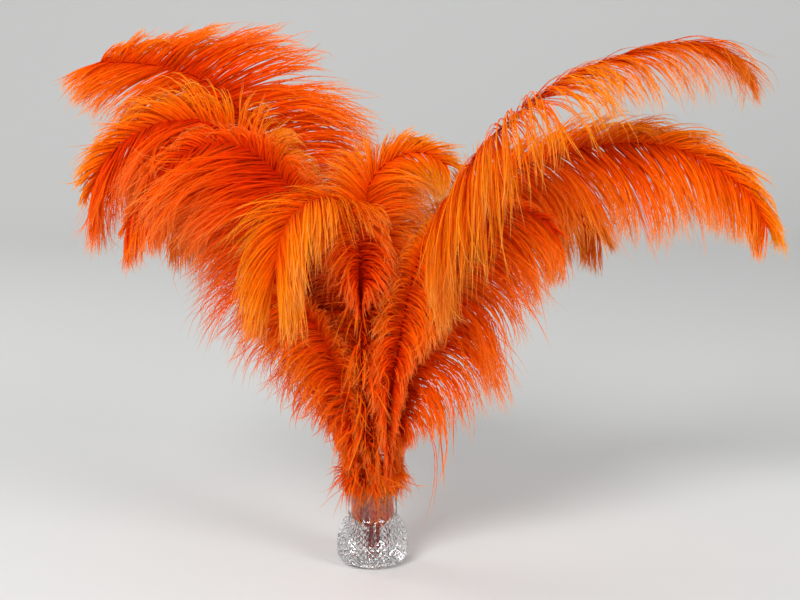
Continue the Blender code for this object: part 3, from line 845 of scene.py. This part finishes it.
set_plume(
    "plume_left_middle", seed=15, tone=(0.15, 0.4, 0.45), right_tone=0.3, veil=0.8,
    ring=176, backs=[(0.0, -0.98, 0.2), (0.0, -0.85, 0.5)], barbs=(122, 60),
    droop=(1.5, 1.4, 1.5), right_droop=(1.8, 2.8, 0.9), curl=(1.0, 2.2),
    angles=(95.0, 85.0, 70.0, 60.0, 52.0, 44.0, 30.0, 24.0),
    right_angles=(95.0, 85.0, 70.0, 58.0, 52.0, 47.0, 38.0, 26.0),
    lengths=(0.08, 0.12, 0.36, 0.85, 1.0, 1.0, 0.8, 0.5),
    right_lengths=(0.08, 0.12, 0.36, 0.85, 1.0, 1.0, 0.85, 0.4),
    shaft=[(-21, -1, 118), (-33, 2, 200), (-55, 6, 285), (-85, 12, 343),
           (-117, 12, 384), (-150, 10, 404), (-188, 6, 403), (-220, 3, 387),
           (-240, 0, 366), (-248, -3, 346)])
set_plume(
    "plume_left_front", seed=16, tone=(0.0, 0.0, 0.25), veil=0.7, loose=1.4,
    ring=201, backs=[(0.0, -0.98, 0.2), (0.0, -0.9, 0.4)], barbs=(122, 42),
    droop=(1.9, 1.5, 1.2), right_droop=(1.8, 2.4, 1.2), bare=75, curl=(1.0, 1.8),
    angles=(95.0, 85.0, 75.0, 60.0, 50.0, 44.0, 36.0, 25.0),
    lengths=(0.07, 0.12, 0.5, 1.12, 1.12, 0.96, 0.6, 0.35),
    right_lengths=(0.1, 0.14, 0.36, 0.85, 1.0, 0.9, 0.6, 0.4),
    shaft=[(-20, -14, 110), (-35, -18, 205), (-50, -22, 290), (-62, -26, 334),
           (-95, -30, 374), (-125, -30, 388), (-155, -30, 384), (-185, -30, 362),
           (-204, -30, 336), (-215, -30, 316)])
set_plume(
    "plume_left_low", seed=17, tone=(0.2, 0.3, 0.35), veil=0.95, curl=(1.8, 2.2), loose=2.6,
    ring=225, backs=[(0.0, -0.97, 0.25), (0.0, -0.9, 0.4)], barbs=(85, 52),
    droop=(2.2, 2.0, 1.6), right_droop=(2.4, 2.4, 1.2),
    lengths=(0.08, 0.18, 0.34, 0.46, 0.7, 0.8, 0.62, 0.4),
    right_lengths=(0.1, 0.1, 0.15, 0.3, 0.45, 0.5, 0.45, 0.35),
    shaft=[(-14, -26, 105), (-20, -42, 150), (-33, -56, 200), (-50, -64, 235),
           (-68, -68, 253), (-84, -70, 258), (-98, -70, 252)])


# ---- The plumes in the middle ---------------------------------------------------------
# Two dyed ostrich plumes that stand in the vase like the rest.  The front one is yellow
# towards its tip, and its long bare quill carries a head that nods forward and hangs.
# The other is upright, reddest in its middle, with a yellow fan at its top.
set_plume(
    "plume_left_drooping", seed=18, tone=(0.0, 0.8, 1.0), veil=(0.0, 0.95, 1.0),
    ring=252, turned=-1.0, barbs=(74, 78), bare=245,
    droop=(1.6, 2.6, 1.7), right_droop=(1.6, 2.0, 1.7),
    backs=[(0.0, 0.9, 0.4), (0.0, 0.8, 0.5), (-0.35, -0.5, 0.75)],
    lengths=(0.15, 0.4, 0.62, 0.5, 0.75, 1.05, 1.1, 1.0),
    right_lengths=(0.15, 0.4, 0.6, 0.6, 0.85, 1.05, 1.1, 1.0),
    angles=(80.0, 75.0, 66.0, 62.0, 58.0, 52.0, 36.0, 18.0),
    shaft=[(-6, -29, 95), (-6, -45, 150), (-8, -54, 205), (-9, -57, 260),
           (-10, -61, 305), (-16, -68, 331), (-32, -81, 345), (-50, -96, 345),
           (-66, -109, 334), (-75, -119, 315), (-78, -124, 296)])
set_plume(
    "plume_centre", seed=19, tone=(0.3, 0.05, 0.9), veil=0.2,
    ring=279, backs=[(0.0, -1.0, 0.1), (0.0, -0.95, 0.3)], barbs=(60, 62),
    droop=(1.4, 1.5, 1.0), right_droop=(1.4, 1.5, 1.6), bare=75,
    angles=(95.0, 85.0, 70.0, 58.0, 52.0, 42.0, 30.0, 22.0),
    lengths=(0.2, 0.35, 0.6, 0.9, 1.0, 0.9, 0.6, 0.4),
    right_lengths=(0.18, 0.3, 0.45, 0.78, 1.0, 1.0, 0.85, 0.45),
    right_angles=(95.0, 85.0, 70.0, 58.0, 52.0, 47.0, 38.0, 28.0),
    shaft=[(1, -19, 100), (-2, -24, 150), (-5, -29, 205), (-5, -34, 280),
           (-5, -36, 328), (0, -32, 356), (20, -24, 375), (45, -16, 379),
           (66, -12, 368)])


# ---- The plumes behind ----------------------------------------------------------------
# Three plumes of middling length close the bunch at the back, one to each side and one
# arching straight backwards, so that it is full all round.  They are dyed and stand in
# the vase like the others.
set_plume(
    "plume_back_left", seed=20, tone=(0.25, 0.35, 0.45),
    ring=118, backs=[(0.0, 0.98, 0.2), (-0.2, 0.8, 0.5)], barbs=(60, 90),
    droop=(1.4, 1.4, 1.4),
    shaft=[(-9, 21, 95), (-15, 32, 150), (-28, 48, 215), (-52, 68, 272),
           (-90, 94, 310), (-130, 112, 325), (-167, 122, 313), (-193, 128, 288)])
set_plume(
    "plume_back_centre", seed=21, tone=(0.25, 0.45, 0.6),
    ring=85, turned=-1.0, barbs=(85, 85), droop=(1.4, 1.4, 1.4), bare=75,
    backs=[(0.0, -0.9, 0.4), (0.0, -0.3, 1.0), (0.0, 0.3, 1.0)],
    shaft=[(1, 28, 100), (2, 57, 150), (2, 94, 225), (0, 122, 285), (0, 150, 318),
           (0, 180, 330), (0, 205, 318), (0, 220, 292)])
set_plume(
    "plume_back_right", seed=22, tone=(0.2, 0.4, 0.55),
    ring=45, backs=[(0.0, 0.98, 0.2), (0.2, 0.8, 0.5)], barbs=(90, 60),
    droop=(1.4, 1.4, 1.4),
    shaft=[(14, 19, 85), (19, 38, 140), (31, 60, 205), (61, 81, 268),
           (103, 100, 310), (150, 112, 325), (190, 120, 315), (215, 124, 288)])


# ---- The studio -----------------------------------------------------------------------
# A plain pale floor that curves up into a wall behind, two soft panels in front and a weak
# one behind, and the camera in front of the bunch, a little above its middle.
CAMERA_AIM = (0.0252, 0.0, 0.2445)
CAMERA_DISTANCE = 1.8
CAMERA_ELEVATION = 10.0
CAMERA_LENS = 90.0
CAMERA_SENSOR = 36.0
FLOOR_FRONT = -4.0
FLOOR_BACK = 2.0
FLOOR_HALF_WIDTH = 6.0
COVE_RADIUS = 1.5
COVE_STEPS = 24
WALL_TOP = 5.0
# the floor lies a hair below the glass foot, so that the two faces never coincide
FLOOR_GAP = 0.0004
FLOOR_COLOUR = (0.6, 0.6, 0.59, 1.0)
FLOOR_ROUGHNESS = 0.6
DAYLIGHT_COLOUR = (0.75, 0.77, 0.78, 1.0)
DAYLIGHT_STRENGTH = 0.55


def point_at(place, aim):
    """The rotation that points an object's -Z from place to aim."""
    return (Vector(aim) - Vector(place)).to_track_quat("-Z", "Y").to_euler()


def light_panel(name, place, aim, size, power):
    light = bpy.data.lights.new(name, "AREA")
    light.shape = "DISK"
    light.size = size
    light.energy = power
    made = bpy.data.objects.new(name, light)
    made.location = place
    made.rotation_euler = point_at(place, aim)
    bpy.context.scene.collection.objects.link(made)


floor_rows = [(FLOOR_FRONT, -FLOOR_GAP), (FLOOR_BACK, -FLOOR_GAP)]
for step in range(1, COVE_STEPS + 1):
    turn = 0.5 * math.pi * step / COVE_STEPS
    floor_rows.append((FLOOR_BACK + COVE_RADIUS * math.sin(turn),
                       COVE_RADIUS * (1.0 - math.cos(turn))))
floor_rows.append((FLOOR_BACK + COVE_RADIUS, WALL_TOP))
floor_points = [(side * FLOOR_HALF_WIDTH, y, z) for y, z in floor_rows for side in (-1, 1)]
strips = [(2 * k, 2 * k + 1, 2 * k + 3, 2 * k + 2) for k in range(len(floor_rows) - 1)]
floor_mesh = bpy.data.meshes.new("studio_floor")
floor_mesh.from_pydata(floor_points, [], strips)
floor_mesh.shade_smooth()
floor = bpy.data.objects.new("studio_floor", floor_mesh)
bpy.context.scene.collection.objects.link(floor)
floor_paint = bpy.data.materials.new("pale_floor")
floor_paint.use_nodes = True
floor_shader = floor_paint.node_tree.nodes["Principled BSDF"]
floor_shader.inputs["Base Color"].default_value = FLOOR_COLOUR
floor_shader.inputs["Roughness"].default_value = FLOOR_ROUGHNESS
floor_mesh.materials.append(floor_paint)

light_panel("key_panel", (-1.2, -3.0, 2.5), aim=(0, 0, 0.28), size=1.6, power=155.0)
light_panel("fill_panel", (2.2, -2.4, 1.6), aim=(0, 0, 0.3), size=1.4, power=65.0)
light_panel("back_panel", (-1.8, 1.2, 1.7), aim=(0, 0, 0.1), size=1.2, power=18.0)
world = bpy.data.worlds.new("studio")
world.use_nodes = True
daylight = world.node_tree.nodes["Background"]
daylight.inputs["Color"].default_value = DAYLIGHT_COLOUR
daylight.inputs["Strength"].default_value = DAYLIGHT_STRENGTH
bpy.context.scene.world = world
bpy.context.scene.view_settings.view_transform = "Standard"

elevation = math.radians(CAMERA_ELEVATION)
camera_data = bpy.data.cameras.new("camera")
camera_data.lens = CAMERA_LENS
camera_data.sensor_width = CAMERA_SENSOR
camera = bpy.data.objects.new("camera", camera_data)
camera.location = (CAMERA_AIM[0], -CAMERA_DISTANCE * math.cos(elevation),
                   CAMERA_AIM[2] + CAMERA_DISTANCE * math.sin(elevation))
camera.rotation_euler = point_at(camera.location, CAMERA_AIM)
bpy.context.scene.collection.objects.link(camera)
bpy.context.scene.camera = camera
